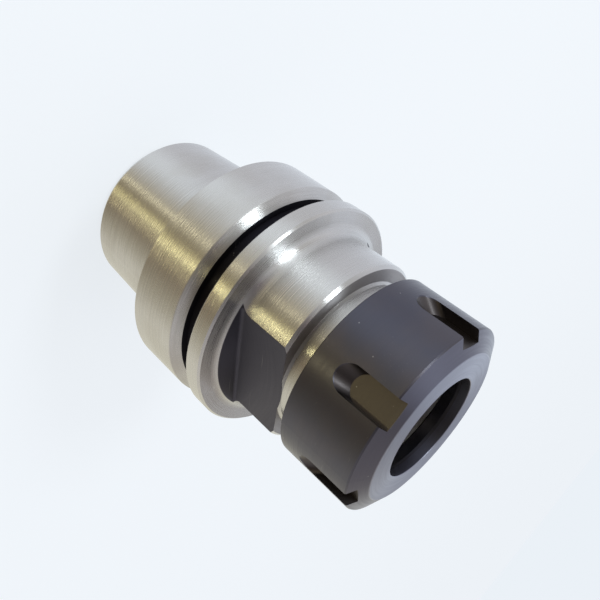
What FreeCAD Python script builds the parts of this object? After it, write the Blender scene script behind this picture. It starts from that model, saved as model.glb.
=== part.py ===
"""Hollow-taper-shank collet chuck: chuck body, slotted clamping nut and eccentric extraction ring.

Millimetres. +Z runs along the spindle axis from the taper shank to the clamping nut. The origin
is the centre of the gauge face, the flange face that seats on the spindle nose. The two wrench
flats face +X and -X. The nut stands a few turns short of clamped, with no collet in the seat.
"""
import FreeCAD, Part
import math
import os
from typing import NamedTuple

# Taper shank, size 63 of the hollow shank standard, form E (no keys, no notches)
TAPER_RATIO = 9.98              # axial length per unit of diameter
TAPER_GAUGE_RADIUS = 24.005
TAPER_GAUGE_DEPTH = 6.3         # gauge radius lies this far behind the gauge face
SHANK_LENGTH = 32.0
SHANK_LEAD_RADIUS = 21.7
SHANK_LEAD_LENGTH = 1.6
SHANK_MOUTH_RADIUS = 17.0
SHANK_MOUTH_CHAMFER = 1.0
CLAMP_SHOULDER_DEPTH = 20.4     # where the 30 degree clamping shoulder starts
CLAMP_SHOULDER_ANGLE = 30.0
CLAMP_UNDERCUT_RADIUS = 18.5
HOLLOW_BOTTOM_DEPTH = 10.5
COOLANT_THREAD_RADIUS = 8.45    # core of the M18 x 1 coolant tube thread
COOLANT_THREAD_LENGTH = 12.0
THROUGH_BORE_RADIUS = 6.5

# Flange with the gripper groove
FLANGE_RADIUS = 31.5
FLANGE_LENGTH = 26.0
FLANGE_REAR_CHAMFER = 0.5
FLANGE_FRONT_CHAMFER = 0.5
FACE_RELIEF_RADIUS = 26.5
FACE_RELIEF_DEPTH = 0.6
GROOVE_CENTRE = 18.0
GROOVE_TOP_WIDTH = 6.76
GROOVE_FLANK_ANGLE = 30.0       # each flank to the plane across the axis
GROOVE_FLANK_DEPTH = 2.6
GROOVE_DEPTH = 4.2
EDGE_BREAK = 0.15

# Chuck body, step and threaded nose
BODY_RADIUS = 25.0
BODY_ROOT_FILLET = 3.0
STEP_HEIGHT = 41.0
STEP_CHAMFER = 0.8
STEP_CORNER = 0.6
NECK_RADIUS = 20.4
NECK_END_HEIGHT = 47.2
THREAD_RELIEF_RADIUS = 18.8
THREAD_START_HEIGHT = 49.2
THREAD_RADIUS = 19.95           # M40 x 1.5, drawn as a plain cylinder
THREAD_CHAMFER = 0.9
NOSE_HEIGHT = 58.0

# Collet seat, 8 degrees to the axis
SEAT_MOUTH_RADIUS = 16.45
SEAT_MOUTH_CHAMFER = 0.4
SEAT_HALF_ANGLE = 8.0
SEAT_LENGTH = 31.0
CLEARANCE_BORE_HEIGHT = 12.0    # the bore behind the seat, for a long tool, ends here
DRILL_POINT_HALF_ANGLE = 59.0

# Wrench flats
FLATS_ACROSS = 41.0
FLATS_REAR_HEIGHT = 26.6
FLATS_CORNER_RADIUS = 0.8

# Clamping nut
NUT_RADIUS = 25.0
NUT_REAR_HEIGHT = 46.4
NUT_LENGTH = 22.0
NUT_CHAMFER_RADIUS = 20.0       # the front chamfer runs down to this radius
NUT_CHAMFER_LENGTH = 2.3
NUT_FRONT_BREAK = 0.25
NUT_BORE_RADIUS = 13.5
NUT_BORE_LENGTH = 2.95
NUT_CONE_HALF_ANGLE = 30.0
NUT_CONE_LENGTH = 2.95
NUT_COUNTERBORE_RADIUS = 20.8
NUT_COUNTERBORE_LENGTH = 3.2
NUT_THREAD_RADIUS = 20.03
NUT_REAR_BREAK = 0.25

# Spanner slots in the nut, milled with the cutter tilted towards the front
SLOT_COUNT = 6
SLOT_FIRST_ANGLE = 17.1
SLOT_WIDTH = 6.7
SLOT_FLOOR_RADIUS = 22.25
SLOT_REAR_HEIGHT = 55.8         # rear end of the floor
SLOT_REAR_SHIFT = 3.4           # how much further back the slot ends at the nut's skin

# Extraction ring, running in a groove of the nut behind its cone
RING_RADIUS = 18.5
RING_REAR_HEIGHT = 60.0
RING_THICKNESS = 2.2
RING_HOLE_RADIUS = 16.4
RING_ECCENTRICITY = 1.0
RING_LIP_ANGLE = 107.0
RING_GROOVE_CLEARANCE = 0.08
RING_GROOVE_REAR_HEIGHT = 59.9
RING_RETAINING_RADIUS = 18.1
RING_RETAINING_LENGTH = 0.6

Z_AXIS = FreeCAD.Vector(0, 0, 1)


class Round(NamedTuple):
    """A profile corner rounded with an arc."""

    radius: float


class Break(NamedTuple):
    """A profile corner cut off straight, the same reach along both sides."""

    reach: float


def finish_corner(before, corner, after, finish):
    """Return where a finished profile corner starts and ends, and the edge between them."""
    to_before = (before - corner).normalize()
    to_after = (after - corner).normalize()
    if isinstance(finish, Break):
        start = corner + to_before * finish.reach
        end = corner + to_after * finish.reach
        return start, end, Part.makeLine(start, end)
    half_angle = to_before.getAngle(to_after) / 2
    start = corner + to_before * (finish.radius / math.tan(half_angle))
    end = corner + to_after * (finish.radius / math.tan(half_angle))
    bisector = (to_before + to_after).normalize()
    middle = corner + bisector * (finish.radius / math.sin(half_angle) - finish.radius)
    return start, end, Part.Arc(start, middle, end).toShape()


def profile_face(corners):
    """Return a face in the XZ plane from (radius, height) corners, each with an optional finish."""
    points = [FreeCAD.Vector(corner[0], 0, corner[1]) for corner in corners]
    count = len(corners)
    starts = list(points)
    ends = list(points)
    edges = []
    for index, corner in enumerate(corners):
        if len(corner) > 2:
            starts[index], ends[index], edge = finish_corner(
                points[index - 1], points[index], points[(index + 1) % count], corner[2])
            edges.append(edge)
    edges += [Part.makeLine(ends[index - 1], starts[index]) for index in range(count)]
    return Part.Face(Part.Wire(Part.__sortEdges__(edges)))


def turned(corners):
    """Return the solid turned about +Z from a closed profile."""
    return profile_face(corners).revolve(FreeCAD.Vector(), Z_AXIS, 360)


def taper_radius(depth):
    """Return the outer radius of the taper at a depth behind the gauge face."""
    return TAPER_GAUGE_RADIUS - (depth - TAPER_GAUGE_DEPTH) / (2 * TAPER_RATIO)


def shank_profile():
    """Return the outside of the taper shank, from its end to the relieved gauge face."""
    lead_depth = SHANK_LENGTH - SHANK_LEAD_LENGTH
    return [
        (SHANK_LEAD_RADIUS, -SHANK_LENGTH),
        (taper_radius(lead_depth), -lead_depth),
        (taper_radius(-FACE_RELIEF_DEPTH), FACE_RELIEF_DEPTH),
        (FACE_RELIEF_RADIUS, FACE_RELIEF_DEPTH),
        (FACE_RELIEF_RADIUS, 0),
    ]


def flange_profile():
    """Return the flange rim, its V groove with a straight-walled root, and its front face."""
    flank_rise = GROOVE_FLANK_DEPTH * math.tan(math.radians(GROOVE_FLANK_ANGLE))
    rear_edge = GROOVE_CENTRE - GROOVE_TOP_WIDTH / 2
    front_edge = GROOVE_CENTRE + GROOVE_TOP_WIDTH / 2
    flank_radius = FLANGE_RADIUS - GROOVE_FLANK_DEPTH
    root_radius = FLANGE_RADIUS - GROOVE_DEPTH
    return [
        (FLANGE_RADIUS - FLANGE_REAR_CHAMFER, 0),
        (FLANGE_RADIUS, FLANGE_REAR_CHAMFER),
        (FLANGE_RADIUS, rear_edge, Break(EDGE_BREAK)),
        (flank_radius, rear_edge + flank_rise),
        (root_radius, rear_edge + flank_rise),
        (root_radius, front_edge - flank_rise),
        (flank_radius, front_edge - flank_rise),
        (FLANGE_RADIUS, front_edge, Break(EDGE_BREAK)),
        (FLANGE_RADIUS, FLANGE_LENGTH - FLANGE_FRONT_CHAMFER),
        (FLANGE_RADIUS - FLANGE_FRONT_CHAMFER, FLANGE_LENGTH),
    ]


def nose_profile():
    """Return the body, its step, the ground neck and the threaded nose."""
    return [
        (BODY_RADIUS, FLANGE_LENGTH, Round(BODY_ROOT_FILLET)),
        (BODY_RADIUS, STEP_HEIGHT - STEP_CHAMFER),
        (BODY_RADIUS - STEP_CHAMFER, STEP_HEIGHT),
        (NECK_RADIUS, STEP_HEIGHT, Break(STEP_CORNER)),
        (NECK_RADIUS, NECK_END_HEIGHT),
        (THREAD_RELIEF_RADIUS, NECK_END_HEIGHT),
        (THREAD_RELIEF_RADIUS, THREAD_START_HEIGHT - THREAD_CHAMFER),
        (THREAD_RADIUS, THREAD_START_HEIGHT),
        (THREAD_RADIUS, NOSE_HEIGHT - THREAD_CHAMFER),
        (THREAD_RADIUS - THREAD_CHAMFER, NOSE_HEIGHT),
    ]


def seat_profile():
    """Return the inside of the front end: collet seat, clearance bore and drill point."""
    seat_bottom = NOSE_HEIGHT - SEAT_LENGTH
    bore_radius = SEAT_MOUTH_RADIUS - SEAT_LENGTH * math.tan(math.radians(SEAT_HALF_ANGLE))
    point_depth = (bore_radius - THROUGH_BORE_RADIUS) / math.tan(
        math.radians(DRILL_POINT_HALF_ANGLE))
    return [
        (SEAT_MOUTH_RADIUS + SEAT_MOUTH_CHAMFER, NOSE_HEIGHT),
        (SEAT_MOUTH_RADIUS, NOSE_HEIGHT - SEAT_MOUTH_CHAMFER),
        (bore_radius, seat_bottom),
        (bore_radius, CLEARANCE_BORE_HEIGHT),
        (THROUGH_BORE_RADIUS, CLEARANCE_BORE_HEIGHT - point_depth),
    ]


def hollow_profile():
    """Return the inside of the shank: coolant thread, clamping undercut, shoulder and mouth."""
    thread_end = COOLANT_THREAD_LENGTH - HOLLOW_BOTTOM_DEPTH
    shoulder_length = (CLAMP_UNDERCUT_RADIUS - SHANK_MOUTH_RADIUS) / math.tan(
        math.radians(CLAMP_SHOULDER_ANGLE))
    return [
        (THROUGH_BORE_RADIUS, thread_end),
        (COOLANT_THREAD_RADIUS, thread_end),
        (COOLANT_THREAD_RADIUS, -HOLLOW_BOTTOM_DEPTH),
        (CLAMP_UNDERCUT_RADIUS, -HOLLOW_BOTTOM_DEPTH),
        (CLAMP_UNDERCUT_RADIUS, -CLAMP_SHOULDER_DEPTH + shoulder_length),
        (SHANK_MOUTH_RADIUS, -CLAMP_SHOULDER_DEPTH),
        (SHANK_MOUTH_RADIUS, -SHANK_LENGTH + SHANK_MOUTH_CHAMFER),
        (SHANK_MOUTH_RADIUS + SHANK_MOUTH_CHAMFER, -SHANK_LENGTH),
    ]


def flat_cutter():
    """Return the block that mills one wrench flat, with the cutter's corner radius."""
    flat = FLATS_ACROSS / 2
    outside = BODY_RADIUS + 3
    top = STEP_HEIGHT + STEP_CORNER
    face = profile_face([
        (flat, FLATS_REAR_HEIGHT, Round(FLATS_CORNER_RADIUS)),
        (outside, FLATS_REAR_HEIGHT),
        (outside, top),
        (flat, top),
    ])
    face.translate(FreeCAD.Vector(0, -BODY_RADIUS, 0))
    return face.extrude(FreeCAD.Vector(0, 2 * BODY_RADIUS, 0))


def chuck_body():
    """Return the chuck body: one turned and ground piece with two milled wrench flats."""
    body = turned(shank_profile() + flange_profile() + nose_profile()
                  + seat_profile() + hollow_profile())
    for turn in (0, 180):
        cutter = flat_cutter()
        cutter.rotate(FreeCAD.Vector(), Z_AXIS, turn)
        body = body.cut(cutter)
    return body


def slot_cutter():
    """Return the slanted cutter of one spanner slot, its floor facing +X."""
    half_width = SLOT_WIDTH / 2
    front = NUT_REAR_HEIGHT + NUT_LENGTH + 2 * SLOT_REAR_SHIFT
    round_centre = SLOT_REAR_HEIGHT + half_width
    rear = FreeCAD.Vector(SLOT_FLOOR_RADIUS, 0, SLOT_REAR_HEIGHT)
    corners = [FreeCAD.Vector(SLOT_FLOOR_RADIUS, side * half_width, height)
               for side, height in ((-1, round_centre), (-1, front), (1, front), (1, round_centre))]
    edges = [Part.makeLine(first, second) for first, second in zip(corners, corners[1:])]
    edges.append(Part.Arc(corners[3], rear, corners[0]).toShape())
    outline = Part.Face(Part.Wire(edges))
    skin_depth = NUT_RADIUS - SLOT_FLOOR_RADIUS
    reach = 1.5
    return outline.extrude(FreeCAD.Vector(skin_depth, 0, -SLOT_REAR_SHIFT) * reach)


def clamping_nut():
    """Return the clamping nut with its cone, ring groove, thread bore and spanner slots."""
    front = NUT_REAR_HEIGHT + NUT_LENGTH
    cone_start = front - NUT_BORE_LENGTH
    cone_end = cone_start - NUT_CONE_LENGTH
    cone_radius = NUT_BORE_RADIUS + NUT_CONE_LENGTH * math.tan(math.radians(NUT_CONE_HALF_ANGLE))
    groove_radius = RING_RADIUS + RING_GROOVE_CLEARANCE
    retaining_end = RING_GROOVE_REAR_HEIGHT - RING_RETAINING_LENGTH
    thread_start = NUT_REAR_HEIGHT + NUT_COUNTERBORE_LENGTH
    nut = turned([
        (NUT_COUNTERBORE_RADIUS, NUT_REAR_HEIGHT),
        (NUT_RADIUS, NUT_REAR_HEIGHT, Break(NUT_REAR_BREAK)),
        (NUT_RADIUS, front - NUT_CHAMFER_LENGTH, Break(NUT_FRONT_BREAK)),
        (NUT_CHAMFER_RADIUS, front),
        (NUT_BORE_RADIUS, front, Break(EDGE_BREAK)),
        (NUT_BORE_RADIUS, cone_start),
        (cone_radius, cone_end),
        (groove_radius, cone_end),
        (groove_radius, RING_GROOVE_REAR_HEIGHT),
        (RING_RETAINING_RADIUS, RING_GROOVE_REAR_HEIGHT),
        (RING_RETAINING_RADIUS, retaining_end),
        (NUT_THREAD_RADIUS, retaining_end),
        (NUT_THREAD_RADIUS, thread_start),
        (NUT_COUNTERBORE_RADIUS, thread_start),
    ])
    for index in range(SLOT_COUNT):
        cutter = slot_cutter()
        cutter.rotate(FreeCAD.Vector(), Z_AXIS, SLOT_FIRST_ANGLE + index * 360 / SLOT_COUNT)
        nut = nut.cut(cutter)
    return nut


def extraction_ring():
    """Return the flat ring whose off-centre hole leaves a lip on one side."""
    ring = Part.makeCylinder(RING_RADIUS, RING_THICKNESS)
    hole = Part.makeCylinder(RING_HOLE_RADIUS, RING_THICKNESS)
    hole.translate(FreeCAD.Vector(-RING_ECCENTRICITY, 0, 0))
    ring = ring.cut(hole)
    ring.rotate(FreeCAD.Vector(), Z_AXIS, RING_LIP_ANGLE)
    ring.translate(Z_AXIS * RING_REAR_HEIGHT)
    return ring


def main():
    """Build every piece and write one STEP file for each."""
    os.makedirs("parts", exist_ok=True)
    pieces = {
        "chuck_body": chuck_body(),
        "clamping_nut": clamping_nut(),
        "extraction_ring": extraction_ring(),
    }
    for name, shape in pieces.items():
        solid = shape.removeSplitter().Solids[0]
        solid.exportStep(f"parts/{name}.step")
        box = solid.BoundBox
        print(f"{name}: volume {solid.Volume:.0f} mm3, valid {solid.isValid()}, "
              f"z {box.ZMin:.2f} to {box.ZMax:.2f}, width {box.XLength:.2f} x {box.YLength:.2f}")


main()
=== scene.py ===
"""Studio scene of the hollow-taper-shank collet chuck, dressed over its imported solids.

Metres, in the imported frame: +Z runs along the spindle axis from the taper shank to the clamping
nut, the origin is the centre of the gauge face and the wrench flats face +X and -X.
"""
import logging
import math
from dataclasses import dataclass, field
from enum import Enum
from typing import NamedTuple, Sequence, Union

import bmesh
import bpy
from mathutils import Matrix, Vector


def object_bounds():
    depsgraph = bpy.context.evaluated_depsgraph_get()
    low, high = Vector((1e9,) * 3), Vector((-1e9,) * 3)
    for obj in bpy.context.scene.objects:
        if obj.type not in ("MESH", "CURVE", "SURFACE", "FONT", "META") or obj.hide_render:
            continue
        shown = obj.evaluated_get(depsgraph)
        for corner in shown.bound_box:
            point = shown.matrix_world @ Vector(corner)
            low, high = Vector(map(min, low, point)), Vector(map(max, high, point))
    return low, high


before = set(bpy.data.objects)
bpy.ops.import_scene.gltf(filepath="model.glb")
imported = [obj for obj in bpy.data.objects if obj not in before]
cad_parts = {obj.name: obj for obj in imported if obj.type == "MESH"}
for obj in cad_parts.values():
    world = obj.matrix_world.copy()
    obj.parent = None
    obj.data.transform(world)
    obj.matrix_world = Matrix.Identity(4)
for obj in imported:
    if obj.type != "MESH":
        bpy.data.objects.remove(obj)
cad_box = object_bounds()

Socket = bpy.types.NodeSocket
Value = Union[Socket, float, int, Sequence[float]]
Colour = tuple[float, float, float]

log = logging.getLogger("collet_chuck")


class Piece(Enum):
    """The pieces of the chuck, by the names of their CAD nodes."""

    CHUCK_BODY = "chuck_body"
    CLAMPING_NUT = "clamping_nut"
    EXTRACTION_RING = "extraction_ring"


class Kind(Enum):
    """Socket types of a node group."""

    VALUE = "NodeSocketFloat"
    VECTOR = "NodeSocketVector"


class Port(NamedTuple):
    """One socket of a node group: its name, type and starting value."""

    name: str
    kind: Kind
    start: float = 0.0


def rgba(colour: Colour) -> tuple[float, float, float, float]:
    """Return the colour with full alpha."""
    return (*colour, 1.0)


class Graph:
    """A node tree with short ways to add nodes and join them."""

    def __init__(self, tree: bpy.types.NodeTree) -> None:
        """Keep the tree that the nodes go into."""
        self.tree = tree

    def add(self, kind: str, inputs: dict[str | int, Value] | None = None,
            **settings: object) -> bpy.types.Node:
        """Add a node.

        Args:
            kind: The node's type name.
            inputs: A value or a socket for each named or numbered input.
            **settings: Properties of the node.

        Returns:
            The new node.
        """
        node = self.tree.nodes.new(kind)
        for name, setting in settings.items():
            setattr(node, name, setting)
        for name, value in (inputs or {}).items():
            self.feed(node.inputs[name], value)
        return node

    def feed(self, target: Socket, value: Value) -> None:
        """Link a socket to the target, or set the target's own value.

        Args:
            target: The input socket.
            value: A socket to link, or a constant.
        """
        if isinstance(value, bpy.types.NodeSocket):
            self.tree.links.new(value, target)
        elif isinstance(value, tuple) and len(value) == 3 and len(target.default_value) == 4:
            target.default_value = rgba(value)
        else:
            target.default_value = value

    def math(self, operation: str, *terms: Value, clamp: bool = False) -> Socket:
        """Return the result of a Math node.

        Args:
            operation: The Math node's operation.
            *terms: Its inputs, in order.
            clamp: Whether the result is held between 0 and 1.

        Returns:
            The output socket.
        """
        inputs = dict(enumerate(terms))
        node = self.add("ShaderNodeMath", inputs, operation=operation, use_clamp=clamp)
        return node.outputs[0]

    def mix(self, factor: Value, first: Value, second: Value) -> Socket:
        """Return a colour mixed from the first towards the second.

        Args:
            factor: 0 for the first colour, 1 for the second.
            first: A colour or colour socket.
            second: A colour or colour socket.

        Returns:
            The mixed colour.
        """
        node = self.add("ShaderNodeMix", {0: factor, 6: first, 7: second}, data_type="RGBA")
        return node.outputs[2]

    def blend(self, factor: Value, first: Value, second: Value) -> Socket:
        """Return a value mixed from the first towards the second.

        Args:
            factor: 0 for the first value, 1 for the second.
            first: A number or value socket.
            second: A number or value socket.

        Returns:
            The mixed value.
        """
        return self.add("ShaderNodeMix", {0: factor, 2: first, 3: second}).outputs[0]

    def noise(self, vector: Socket, scale: float, detail: float = 2.0,
              roughness: float = 0.5) -> Socket:
        """Return a noise value.

        Args:
            vector: Where the noise is read.
            scale: Its scale.
            detail: Its octaves.
            roughness: The weight of the finer octaves.

        Returns:
            The value, around 0.5.
        """
        node = self.add("ShaderNodeTexNoise", {
            "Vector": vector, "Scale": scale, "Detail": detail, "Roughness": roughness})
        return node.outputs["Fac"]

    def span(self, value: Value, low: float, high: float, bottom: Value = 0.0,
             top: Value = 1.0) -> Socket:
        """Return a value mapped smoothly from one range to another and held there.

        Args:
            value: The value.
            low: The value that gives bottom.
            high: The value that gives top.
            bottom: The lowest result.
            top: The highest result.

        Returns:
            The mapped value.
        """
        node = self.add("ShaderNodeMapRange", {
            "Value": value, "From Min": low, "From Max": high, "To Min": bottom, "To Max": top},
            interpolation_type="SMOOTHSTEP")
        return node.outputs["Result"]

    def ramp(self, factor: Socket, stops: Sequence[tuple[float, Colour]]) -> Socket:
        """Return a colour from a colour ramp.

        Args:
            factor: Where the ramp is read.
            stops: Its positions and colours, in order.

        Returns:
            The colour.
        """
        node = self.add("ShaderNodeValToRGB", {0: factor})
        elements = node.color_ramp.elements
        while len(elements) < len(stops):
            elements.new(1.0)
        for element, (position, colour) in zip(elements, stops):
            element.position = position
            element.color = rgba(colour)
        return node.outputs["Color"]

    def group(self, group: "Effect", **inputs: Value) -> bpy.types.NodeOutputs:
        """Place a node group.

        Args:
            group: The effect.
            **inputs: Its inputs, with an underscore for each space.

        Returns:
            The group's outputs.
        """
        node = self.add("ShaderNodeGroup", node_tree=group.tree)
        for name, value in inputs.items():
            self.feed(node.inputs[name.replace("_", " ")], value)
        return node.outputs


class Effect:
    """A node group with named inputs and outputs, built once."""

    def __init__(self, name: str, inputs: Sequence[Port], outputs: Sequence[Port]) -> None:
        """Start the group.

        Args:
            name: The group's name.
            inputs: Its input sockets.
            outputs: Its output sockets.
        """
        self.tree = bpy.data.node_groups.new(name, "ShaderNodeTree")
        for port in inputs:
            socket = self.tree.interface.new_socket(
                name=port.name, in_out="INPUT", socket_type=port.kind.value)
            if port.kind is Kind.VALUE:
                socket.default_value = port.start
        for port in outputs:
            self.tree.interface.new_socket(
                name=port.name, in_out="OUTPUT", socket_type=port.kind.value)
        self.graph = Graph(self.tree)
        self.inputs = self.graph.add("NodeGroupInput").outputs
        self.outputs = self.graph.add("NodeGroupOutput").inputs

    def give(self, **results: Socket) -> None:
        """Join results to the group's outputs, with an underscore for each space."""
        for name, result in results.items():
            self.graph.feed(self.outputs[name.replace("_", " ")], result)


@dataclass(frozen=True)
class Effects:
    """The effects that the finishes share."""

    place: Effect
    turning: Effect
    band: Effect
    handling: Effect
    thread: Effect

    @classmethod
    def build(cls) -> "Effects":
        """Return all the shared effects, built."""
        place = cls.shaft_place()
        return cls(place, cls.turning_lines(), cls.band_mask(), cls.handling_marks(),
                   cls.screw_thread())

    @staticmethod
    def shaft_place() -> Effect:
        """Return the effect that tells where a point lies round the spindle axis, in millimetres.

        Returns:
            A group with the point's Radius, Height, Side (its distance from the plane between
            the flats), Turn (0 to 1 round the axis) and Round (the unit circle point).
        """
        effect = Effect("shaft_place", [], [
            Port("Radius", Kind.VALUE), Port("Height", Kind.VALUE), Port("Side", Kind.VALUE),
            Port("Turn", Kind.VALUE), Port("Round", Kind.VECTOR)])
        graph = effect.graph
        point = graph.add("ShaderNodeTexCoord").outputs["Object"]
        millimetres = graph.add("ShaderNodeVectorMath", {0: point, "Scale": 1000.0},
                                operation="SCALE").outputs[0]
        axes = graph.add("ShaderNodeSeparateXYZ", {0: millimetres}).outputs
        flat = graph.add("ShaderNodeCombineXYZ", {"X": axes["X"], "Y": axes["Y"]}).outputs[0]
        radius = graph.add("ShaderNodeVectorMath", {0: flat}, operation="LENGTH").outputs["Value"]
        around = graph.add("ShaderNodeVectorMath", {0: flat}, operation="NORMALIZE").outputs[0]
        angle = graph.math("ARCTAN2", axes["Y"], axes["X"])
        turn = graph.math("MULTIPLY_ADD", angle, 0.5 / math.pi, 0.5)
        effect.give(Radius=radius, Height=axes["Z"], Side=graph.math("ABSOLUTE", axes["X"]),
                    Turn=turn, Round=around)
        return effect

    @staticmethod
    def turning_lines() -> Effect:
        """Return the fine lines that a grinding wheel or turning tool leaves round the axis.

        Returns:
            A group that takes the shaft place, the lines' Pitch in millimetres and how often
            they change round the axis (Breaks), and gives Lines between 0 and 1.
        """
        effect = Effect("turning_lines", [
            Port("Radius", Kind.VALUE), Port("Height", Kind.VALUE), Port("Round", Kind.VECTOR),
            Port("Pitch", Kind.VALUE, 0.2), Port("Breaks", Kind.VALUE, 2.0)],
            [Port("Lines", Kind.VALUE)])
        graph = effect.graph
        run = graph.math("MULTIPLY_ADD", effect.inputs["Radius"], 0.83, effect.inputs["Height"])
        along = graph.math("DIVIDE", run, effect.inputs["Pitch"])
        around = graph.add("ShaderNodeVectorMath", {
            0: effect.inputs["Round"], "Scale": effect.inputs["Breaks"]},
            operation="SCALE").outputs[0]
        upright = graph.add("ShaderNodeCombineXYZ", {"Z": along}).outputs[0]
        point = graph.add("ShaderNodeVectorMath", {0: around, 1: upright},
                          operation="ADD").outputs[0]
        effect.give(Lines=graph.noise(point, 1.0, detail=4.0, roughness=0.7))
        return effect

    @staticmethod
    def band_mask() -> Effect:
        """Return a mask that is 1 where a value lies between two limits.

        Returns:
            A group that takes a Value, its limits From and To and a Blur, and gives a Mask.
        """
        effect = Effect("band_mask", [
            Port("Value", Kind.VALUE), Port("From", Kind.VALUE, 0.0), Port("To", Kind.VALUE, 1.0),
            Port("Blur", Kind.VALUE, 0.05)], [Port("Mask", Kind.VALUE)])
        graph = effect.graph
        inputs = effect.inputs
        above = graph.math("DIVIDE", graph.math("SUBTRACT", inputs["Value"], inputs["From"]),
                           inputs["Blur"])
        below = graph.math("DIVIDE", graph.math("SUBTRACT", inputs["To"], inputs["Value"]),
                           inputs["Blur"])
        both = graph.math("MINIMUM", above, below)
        effect.give(Mask=graph.math("ADD", both, 0.5, clamp=True))
        return effect

    @staticmethod
    def handling_marks() -> Effect:
        """Return the small specks and hair scratches of a tool that has been handled.

        Returns:
            A group that takes the Amount and gives the masks Specks and Scratches, and a slow
            Stain between 0 and 1.
        """
        effect = Effect("handling_marks", [Port("Amount", Kind.VALUE, 0.5)], [
            Port("Specks", Kind.VALUE), Port("Scratches", Kind.VALUE), Port("Stain", Kind.VALUE)])
        graph = effect.graph
        point = graph.add("ShaderNodeTexCoord").outputs["Object"]
        amount = effect.inputs["Amount"]
        cells = graph.add("ShaderNodeTexVoronoi", {"Vector": point, "Scale": 900.0})
        near = graph.span(cells.outputs["Distance"], 0.10, 0.18, 1.0, 0.0)
        chosen = graph.add("ShaderNodeSeparateColor", {0: cells.outputs["Color"]}).outputs[0]
        rare = graph.math("LESS_THAN", chosen, graph.math("MULTIPLY", amount, 0.16))
        specks = graph.math("MULTIPLY", near, rare)
        stretched = graph.add("ShaderNodeMapping", {
            "Vector": point, "Rotation": (0.4, 0.9, 0.3), "Scale": (2600.0, 90.0, 2600.0)})
        hairs = graph.noise(stretched.outputs[0], 1.0, detail=1.0)
        patches = graph.span(graph.noise(point, 160.0), 0.52, 0.62)
        fine = graph.span(hairs, 0.70, 0.76)
        scratches = graph.math("MULTIPLY", graph.math("MULTIPLY", fine, patches), amount)
        effect.give(Specks=specks, Scratches=scratches, Stain=graph.noise(point, 70.0, 3.0))
        return effect

    @staticmethod
    def screw_thread() -> Effect:
        """Return the flanks of a right-hand screw thread as a height.

        Returns:
            A group that takes Height and Turn and the Pitch in millimetres, and gives the
            thread's Profile between 0 at the root and 1 at the crest.
        """
        effect = Effect("screw_thread", [
            Port("Height", Kind.VALUE), Port("Turn", Kind.VALUE), Port("Pitch", Kind.VALUE, 1.5)],
            [Port("Profile", Kind.VALUE)])
        graph = effect.graph
        turns = graph.math("DIVIDE", effect.inputs["Height"], effect.inputs["Pitch"])
        phase = graph.math("SUBTRACT", turns, effect.inputs["Turn"])
        effect.give(Profile=graph.math("PINGPONG", graph.math("MULTIPLY", phase, 2.0), 1.0))
        return effect


@dataclass(frozen=True)
class Zone:
    """A ring-shaped zone of a turned piece, in millimetres."""

    low: float
    high: float
    inner: float = 0.0
    outer: float = 100.0
    blur: float = 0.06


class Surface:
    """A material under construction: its graph, the place on the shaft and its shader."""

    def __init__(self, name: str, effects: Effects) -> None:
        """Start the material.

        Args:
            name: The finish's name.
            effects: The shared effects.
        """
        self.material = bpy.data.materials.new(name)
        self.material.use_nodes = True
        self.effects = effects
        self.graph = Graph(self.material.node_tree)
        self.shader = self.material.node_tree.nodes["Principled BSDF"]
        self.place = self.graph.group(effects.place)

    def zone(self, zone: Zone) -> Socket:
        """Return the mask of a zone.

        Args:
            zone: Its limits in height and radius.

        Returns:
            1 inside the zone, 0 outside.
        """
        height = self.graph.group(self.effects.band, Value=self.place["Height"], From=zone.low,
                                  To=zone.high, Blur=zone.blur)["Mask"]
        radius = self.graph.group(self.effects.band, Value=self.place["Radius"], From=zone.inner,
                                  To=zone.outer, Blur=zone.blur)["Mask"]
        return self.graph.math("MULTIPLY", height, radius)

    def either(self, *masks: Socket) -> Socket:
        """Return the largest of several masks."""
        result = masks[0]
        for mask in masks[1:]:
            result = self.graph.math("MAXIMUM", result, mask)
        return result

    def lines(self, pitch: float, breaks: float) -> Socket:
        """Return turning lines.

        Args:
            pitch: Their pitch in millimetres.
            breaks: How often they change round the axis.

        Returns:
            A value around 0.5.
        """
        return self.graph.group(self.effects.turning, Radius=self.place["Radius"],
                                Height=self.place["Height"], Round=self.place["Round"],
                                Pitch=pitch, Breaks=breaks)["Lines"]

    def unevenness(self, lines: Socket, reach: float) -> Socket:
        """Return how turning lines change the roughness, between minus and plus the reach."""
        return self.graph.span(lines, 0.3, 0.7, -reach, reach)

    def thread(self, pitch: float) -> Socket:
        """Return the profile of a screw thread of a pitch in millimetres."""
        return self.graph.group(self.effects.thread, Height=self.place["Height"],
                                Turn=self.place["Turn"], Pitch=pitch)["Profile"]

    def finish(self, colour: Value, roughness: Value, height: Socket, depth: float,
               anisotropy: float) -> bpy.types.Material:
        """Join the results to the shader of a turned metal.

        Args:
            colour: The base colour.
            roughness: The roughness.
            height: The relief, between 0 and 1.
            depth: The relief's depth in metres.
            anisotropy: How much the turning lines stretch a highlight across them.

        Returns:
            The finished material.
        """
        bump = self.graph.add("ShaderNodeBump", {"Height": height, "Distance": depth,
                                                 "Strength": 1.0})
        tangent = self.graph.add("ShaderNodeTangent", direction_type="RADIAL", axis="Z")
        inputs = self.shader.inputs
        self.graph.feed(inputs["Base Color"], colour)
        self.graph.feed(inputs["Roughness"], roughness)
        self.graph.feed(inputs["Normal"], bump.outputs["Normal"])
        self.graph.feed(inputs["Tangent"], tangent.outputs["Tangent"])
        inputs["Metallic"].default_value = 1.0
        inputs["Anisotropic"].default_value = anisotropy
        inputs["Anisotropic Rotation"].default_value = 0.25
        return self.material


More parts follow.
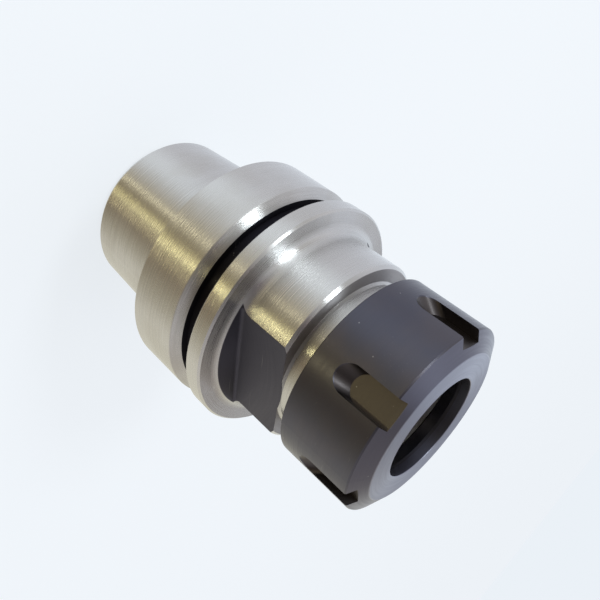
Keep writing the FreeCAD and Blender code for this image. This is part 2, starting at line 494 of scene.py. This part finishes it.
@dataclass(frozen=True)
class GroundSteel:
    """Fine-ground steel body whose unground faces keep their black oxide, with painted shade in
    the root of the V-groove and a step face painted darker as a painted reflection of the dark
    nut.
    """

    bright: Colour = (0.57, 0.565, 0.56)
    stained: Colour = (0.53, 0.52, 0.505)
    # Darker colour of the duller turned bore and threads; on the step face it is a painted
    # reflection of the dark nut.
    dull_and_shaded: Colour = (0.36, 0.34, 0.345)
    oxide: Colour = (0.088, 0.086, 0.108)
    painted_shade: Colour = (0.022, 0.021, 0.028)
    # Near-black painted shade for the root of the V-groove.
    roughness: float = 0.28
    flat_side: float = 20.45
    flats: Zone = Zone(26.5, 41.7)
    step_face: Zone = Zone(40.96, 41.04)
    groove: Zone = Zone(15.9, 20.1, outer=28.93)
    thread: Zone = Zone(48.3, 58.1, inner=18.9, outer=20.2)
    thread_relief: Zone = Zone(47.0, 49.0, outer=19.5)
    hollow: Zone = Zone(-31.6, 13.0, outer=18.8)
    coolant_thread: Zone = Zone(-10.6, 1.4, outer=8.7)
    line_pitch: float = 0.16
    line_breaks: float = 1.5
    line_relief: float = 0.018
    unevenness: float = 0.05
    handling: float = 0.5
    stain_range: tuple[float, float] = (0.42, 0.68)
    dull_and_shade_share: float = 0.85
    dull_roughness: float = 0.42
    nose_pitch: float = 1.5
    coolant_pitch: float = 1.0
    thread_depth: float = 0.0009
    anisotropy: float = 1.0

    def material(self, effects: Effects) -> bpy.types.Material:
        """Return the material of the chuck body.

        Args:
            effects: The shared effects.

        Returns:
            The material.
        """
        surface = Surface("ground_steel", effects)
        graph = surface.graph
        side = graph.group(effects.band, Value=surface.place["Side"], From=self.flat_side,
                           To=40.0, Blur=0.05)["Mask"]
        flats = graph.math("MULTIPLY", surface.zone(self.flats), side)
        groove = surface.zone(self.groove)
        # Real oxide on the flats; the groove root is in this mask too, but the painted shade
        # below covers it.
        oxide = surface.either(flats, groove)
        thread = surface.zone(self.thread)
        coolant = surface.zone(self.coolant_thread)
        # The step face takes the darker colour as a painted dark reflection of the nut; the bore
        # and threads are duller turned faces.
        dull_and_shaded = surface.either(surface.zone(self.step_face), surface.zone(self.hollow), thread,
                              surface.zone(self.thread_relief))
        marks = graph.group(effects.handling, Amount=self.handling)
        lines = surface.lines(self.line_pitch, self.line_breaks)
        stain = graph.span(marks["Stain"], *self.stain_range)
        colour = graph.mix(stain, self.bright, self.stained)
        colour = graph.mix(graph.math("MULTIPLY", dull_and_shaded, self.dull_and_shade_share), colour, self.dull_and_shaded)
        colour = graph.mix(oxide, colour, self.oxide)
        # Painted shade: the root of the V-groove is painted near-black over the oxide.
        colour = graph.mix(groove, colour, self.painted_shade)
        colour = graph.mix(graph.math("MULTIPLY", marks["Scratches"], 0.5), colour, self.bright)
        uneven = surface.unevenness(lines, self.unevenness)
        base = graph.blend(surface.either(oxide, dull_and_shaded), self.roughness, self.dull_roughness)
        roughness = graph.math("ADD", base, uneven)
        relief = graph.math("MULTIPLY", lines, self.line_relief)
        cut = graph.math("MULTIPLY", surface.thread(self.nose_pitch), thread)
        fine_cut = graph.math("MULTIPLY", surface.thread(self.coolant_pitch), coolant)
        relief = graph.math("ADD", relief, graph.math("ADD", cut, fine_cut))
        return surface.finish(colour, roughness, relief, self.thread_depth, self.anisotropy)


@dataclass(frozen=True)
class BlackOxideSteel:
    """Satin black oxide over turned steel, browner on the floors of the milled slots, with a
    painted sheen that makes the front face and its chamfer lighter and bluer.
    """

    satin: Colour = (0.088, 0.088, 0.112)
    warm: Colour = (0.100, 0.094, 0.110)
    # Painted sheen: lighter, bluer colours for the front face and chamfer, for the light that
    # these faces catch.
    painted_face_sheen: Colour = (0.255, 0.262, 0.318)
    painted_chamfer_sheen: Colour = (0.128, 0.128, 0.165)
    slot_brown: Colour = (0.090, 0.080, 0.078)
    rubbed: Colour = (0.30, 0.30, 0.32)
    roughness: float = 0.38
    nut_radius: float = 25.0
    slot_floor: float = 22.0
    chamfer_start: float = 66.1
    chamfer_slope: float = 2.174
    bore_thread: Zone = Zone(49.7, 59.2, outer=20.5)
    front_face: Zone = Zone(68.3, 69.0)
    front_chamfer: Zone = Zone(66.2, 68.3)
    line_pitch: float = 0.22
    line_breaks: float = 1.2
    line_relief: float = 0.004
    unevenness: float = 0.05
    handling: float = 0.2
    stain_range: tuple[float, float] = (0.38, 0.66)
    slot_share: float = 0.9
    thread_pitch: float = 1.5
    thread_depth: float = 0.0009
    anisotropy: float = 0.6

    def material(self, effects: Effects) -> bpy.types.Material:
        """Return the material of the clamping nut.

        Args:
            effects: The shared effects.

        Returns:
            The material.
        """
        surface = Surface("black_oxide_steel", effects)
        graph = surface.graph
        past_corner = graph.math("SUBTRACT", surface.place["Height"], self.chamfer_start)
        taken = graph.math("MULTIPLY", graph.math("MAXIMUM", past_corner, 0.0),
                           self.chamfer_slope)
        skin = graph.math("SUBTRACT", self.nut_radius, taken)
        depth = graph.math("SUBTRACT", skin, surface.place["Radius"])
        below_skin = graph.span(depth, 0.08, 0.25)
        outside = graph.span(surface.place["Radius"], self.slot_floor - 0.1, self.slot_floor)
        slots = graph.math("MULTIPLY", below_skin, outside)
        marks = graph.group(effects.handling, Amount=self.handling)
        lines = surface.lines(self.line_pitch, self.line_breaks)
        stain = graph.span(marks["Stain"], *self.stain_range)
        colour = graph.mix(stain, self.satin, self.warm)
        # Painted sheen on the front chamfer and front face.
        colour = graph.mix(surface.zone(self.front_chamfer), colour, self.painted_chamfer_sheen)
        colour = graph.mix(surface.zone(self.front_face), colour, self.painted_face_sheen)
        colour = graph.mix(graph.math("MULTIPLY", slots, self.slot_share), colour,
                           self.slot_brown)
        colour = graph.mix(graph.math("MULTIPLY", marks["Scratches"], 0.6), colour, self.rubbed)
        colour = graph.mix(graph.math("MULTIPLY", marks["Specks"], 0.7), colour, self.rubbed)
        uneven = surface.unevenness(lines, self.unevenness)
        roughness = graph.math("ADD", uneven, self.roughness)
        thread = graph.math("MULTIPLY", surface.thread(self.thread_pitch),
                            surface.zone(self.bore_thread))
        relief = graph.math("ADD", graph.math("MULTIPLY", lines, self.line_relief), thread)
        return surface.finish(colour, roughness, relief, self.thread_depth, self.anisotropy)


@dataclass(frozen=True)
class RingSteel:
    """Plain turned steel of the extraction ring."""

    bright: Colour = (0.42, 0.41, 0.40)
    worn: Colour = (0.34, 0.325, 0.31)
    roughness: float = 0.30
    line_pitch: float = 0.12
    line_breaks: float = 2.0
    line_depth: float = 0.000004
    unevenness: float = 0.04
    handling: float = 0.4
    stain_range: tuple[float, float] = (0.4, 0.65)
    anisotropy: float = 0.8

    def material(self, effects: Effects) -> bpy.types.Material:
        """Return the material of the extraction ring.

        Args:
            effects: The shared effects.

        Returns:
            The material.
        """
        surface = Surface("ring_steel", effects)
        graph = surface.graph
        marks = graph.group(effects.handling, Amount=self.handling)
        lines = surface.lines(self.line_pitch, self.line_breaks)
        stain = graph.span(marks["Stain"], *self.stain_range)
        colour = graph.mix(stain, self.bright, self.worn)
        uneven = surface.unevenness(lines, self.unevenness)
        roughness = graph.math("ADD", uneven, self.roughness)
        return surface.finish(colour, roughness, lines, self.line_depth, self.anisotropy)


@dataclass
class CadPiece:
    """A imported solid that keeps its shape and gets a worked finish."""

    piece: Piece

    def dress(self, material: bpy.types.Material) -> bpy.types.Object:
        """Give the solid its finish.

        Args:
            material: The finish.

        Returns:
            The solid's object.
        """
        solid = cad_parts[self.piece.value]
        for slot in solid.material_slots:
            slot.material = material
        return solid


@dataclass
class ColletChuck:
    """The chuck body, its clamping nut and the extraction ring inside the nut."""

    body: CadPiece = field(default_factory=lambda: CadPiece(Piece.CHUCK_BODY))
    nut: CadPiece = field(default_factory=lambda: CadPiece(Piece.CLAMPING_NUT))
    ring: CadPiece = field(default_factory=lambda: CadPiece(Piece.EXTRACTION_RING))

    def build(self, effects: Effects) -> list[bpy.types.Object]:
        """Dress every piece.

        Args:
            effects: The shared effects.

        Returns:
            The pieces' objects.
        """
        return [
            self.body.dress(GroundSteel().material(effects)),
            self.nut.dress(BlackOxideSteel().material(effects)),
            self.ring.dress(RingSteel().material(effects)),
        ]


@dataclass(frozen=True)
class Wall:
    """One stretch of the studio's walls: its direction round the object and its light."""

    azimuth: float
    low: Colour
    high: Colour


@dataclass(frozen=True)
class Lamp:
    """A flat lamp that faces the chuck: its direction in degrees, its size and its light."""

    azimuth: float
    elevation: float
    width: float
    height: float
    colour: Colour
    radiance: float
    distance: float = 0.9

    def build(self, name: str) -> bpy.types.Object:
        """Place the lamp.

        Args:
            name: The lamp's name.

        Returns:
            The lamp's object.
        """
        data = bpy.data.lights.new(name, "AREA")
        data.shape = "RECTANGLE"
        data.size = self.width
        data.size_y = self.height
        data.color = self.colour
        data.energy = math.pi * self.width * self.height * self.radiance
        lamp = bpy.data.objects.new(name, data)
        lamp.visible_camera = False
        turn = Matrix.Rotation(math.radians(self.azimuth), 3, "Z")
        rise = Matrix.Rotation(-math.radians(self.elevation), 3, "Y")
        place = turn @ rise @ Vector((self.distance, 0.0, 0.0))
        lamp.matrix_world = Matrix.Translation(place) @ (-place).to_track_quat(
            "-Z", "Y").to_matrix().to_4x4()
        bpy.context.scene.collection.objects.link(lamp)
        return lamp


@dataclass
class Studio:
    """The floor that the chuck stands on, the soft walls round it, the lamps and the camera."""

    floor_reach: float = 6.0
    backdrop: Colour = (0.83, 0.88, 0.93)
    floor_share: float = 0.16
    walls: tuple[Wall, ...] = (
        Wall(-180, (0.92, 0.97, 1.06), (0.85, 0.88, 0.95)),
        Wall(-152, (0.84, 0.86, 0.92), (0.88, 0.88, 0.92)),
        Wall(-122, (0.86, 0.87, 0.92), (0.62, 0.61, 0.58)),
        Wall(-108, (1.00, 1.05, 1.10), (0.80, 0.80, 0.80)),
        Wall(-86, (1.00, 1.05, 1.08), (0.80, 0.80, 0.80)),
        Wall(-76, (0.80, 0.80, 0.77), (0.55, 0.55, 0.55)),
        Wall(-58, (0.66, 0.60, 0.46), (0.26, 0.22, 0.23)),
        Wall(-38, (0.44, 0.37, 0.23), (0.13, 0.12, 0.135)),
        Wall(-5, (0.34, 0.27, 0.18), (0.25, 0.24, 0.25)),
        Wall(17, (0.52, 0.47, 0.34), (0.50, 0.48, 0.50)),
        Wall(44, (0.95, 0.91, 0.78), (0.75, 0.73, 0.74)),
        Wall(94, (0.92, 0.89, 0.74), (0.62, 0.57, 0.52)),
        Wall(118, (0.88, 0.90, 0.88), (0.34, 0.30, 0.27)),
        Wall(132, (0.95, 1.05, 1.20), (0.45, 0.45, 0.50)),
        Wall(145, (1.10, 1.20, 1.30), (0.90, 0.93, 1.00)),
        Wall(180, (0.92, 0.97, 1.06), (0.85, 0.88, 0.95)),
    )
    # A cool high window, then warm upright strips that streak the turned faces lengthwise.
    lamps: tuple[Lamp, ...] = (
        Lamp(-110, 56, 0.18, 0.24, (0.86, 0.95, 1.0), 14.0),
        Lamp(-28, -22, 0.035, 0.30, (1.0, 0.92, 0.48), 11.0),
        Lamp(-31, -40, 0.030, 0.6, (1.0, 0.90, 0.40), 2.2),
        Lamp(-51, -38, 0.025, 0.7, (1.0, 0.92, 0.60), 2.6),
        Lamp(-14, -45, 0.020, 0.5, (1.0, 0.88, 0.48), 3.0),
    )
    camera_place: Vector = field(default_factory=lambda: Vector((0.08907, -0.10411, 0.09917)))
    camera_right: Vector = field(default_factory=lambda: Vector((-0.7169, -0.1338, 0.6842)))
    camera_up: Vector = field(default_factory=lambda: Vector((-0.3761, -0.7522, -0.5411)))
    camera_lens: float = 36.8

    def build(self) -> None:
        """Set up the floor, the surroundings, the lamps and the camera."""
        self.build_floor()
        self.build_surroundings()
        for index, lamp in enumerate(self.lamps, start=1):
            lamp.build(f"studio_lamp_{index}")
        self.build_camera()
        bpy.context.scene.view_settings.view_transform = "Standard"

    def build_floor(self) -> bpy.types.Object:
        """Lay the pale floor under the end of the shank.

        Returns:
            The floor's object.
        """
        mesh = bpy.data.meshes.new("studio_floor")
        builder = bmesh.new()
        level = cad_box[0][2]
        bmesh.ops.create_circle(builder, cap_ends=True, segments=96, radius=self.floor_reach,
                                matrix=Matrix.Translation((0.0, 0.0, level)))
        builder.to_mesh(mesh)
        builder.free()
        floor = bpy.data.objects.new("studio_floor", mesh)
        bpy.context.scene.collection.objects.link(floor)
        mesh.materials.append(self.floor_material())
        floor.visible_glossy = False
        floor.visible_shadow = False
        return floor

    def floor_material(self) -> bpy.types.Material:
        """Return the floor's pale finish, which keeps the object's shadow."""
        material = bpy.data.materials.new("studio_floor")
        material.use_nodes = True
        graph = Graph(material.node_tree)
        material.node_tree.nodes.clear()
        seen = graph.add("ShaderNodeLightPath").outputs["Is Camera Ray"]
        glow = tuple(part * (1.0 - self.floor_share) for part in self.backdrop)
        emission = graph.add("ShaderNodeEmission", {"Color": glow, "Strength": seen})
        matt = graph.add("ShaderNodeBsdfDiffuse", {"Color": (self.floor_share * 1.5,) * 3})
        both = graph.add("ShaderNodeAddShader", {0: emission.outputs[0], 1: matt.outputs[0]})
        graph.add("ShaderNodeOutputMaterial", {"Surface": both.outputs[0]})
        return material

    def build_surroundings(self) -> None:
        """Paint the soft walls that the metal reflects, plain and pale where they are seen."""
        world = bpy.data.worlds.new("studio")
        bpy.context.scene.world = world
        world.use_nodes = True
        graph = Graph(world.node_tree)
        world.node_tree.nodes.clear()
        direction = graph.add("ShaderNodeTexCoord").outputs["Generated"]
        axes = graph.add("ShaderNodeSeparateXYZ", {0: direction}).outputs
        angle = graph.math("ARCTAN2", axes["Y"], axes["X"])
        turn = graph.math("MULTIPLY_ADD", angle, 0.5 / math.pi, 0.5)
        low = graph.ramp(turn, [(wall.azimuth / 360 + 0.5, wall.low) for wall in self.walls])
        high = graph.ramp(turn, [(wall.azimuth / 360 + 0.5, wall.high) for wall in self.walls])
        walls = graph.mix(graph.span(axes["Z"], 0.20, 0.50), low, high)
        rays = graph.add("ShaderNodeLightPath").outputs
        seen = graph.math("MAXIMUM", rays["Is Camera Ray"], rays["Is Transmission Ray"])
        colour = graph.mix(seen, walls, self.backdrop)
        background = graph.add("ShaderNodeBackground", {"Color": colour, "Strength": 1.0})
        graph.add("ShaderNodeOutputWorld", {"Surface": background.outputs[0]})

    def build_camera(self) -> bpy.types.Object:
        """Place the camera that looks down on the nut's side of the chuck.

        Returns:
            The camera's object.
        """
        data = bpy.data.cameras.new("studio_camera")
        data.sensor_width = 36.0
        data.lens = self.camera_lens
        data.clip_start = 0.005
        camera = bpy.data.objects.new("studio_camera", data)
        right = self.camera_right.normalized()
        back = right.cross(self.camera_up).normalized()
        turn = Matrix((right, back.cross(right), back)).transposed()
        camera.matrix_world = Matrix.Translation(self.camera_place) @ turn.to_4x4()
        bpy.context.scene.collection.objects.link(camera)
        bpy.context.scene.camera = camera
        return camera


def main() -> None:
    """Dress the chuck, set up the studio and report each piece."""
    logging.basicConfig(level=logging.INFO, format="%(message)s")
    Studio().build()
    for piece in ColletChuck().build(Effects.build()):
        log.info("%s: %d triangles", piece.name, len(piece.data.polygons))


if __name__ == "__main__":
    main()
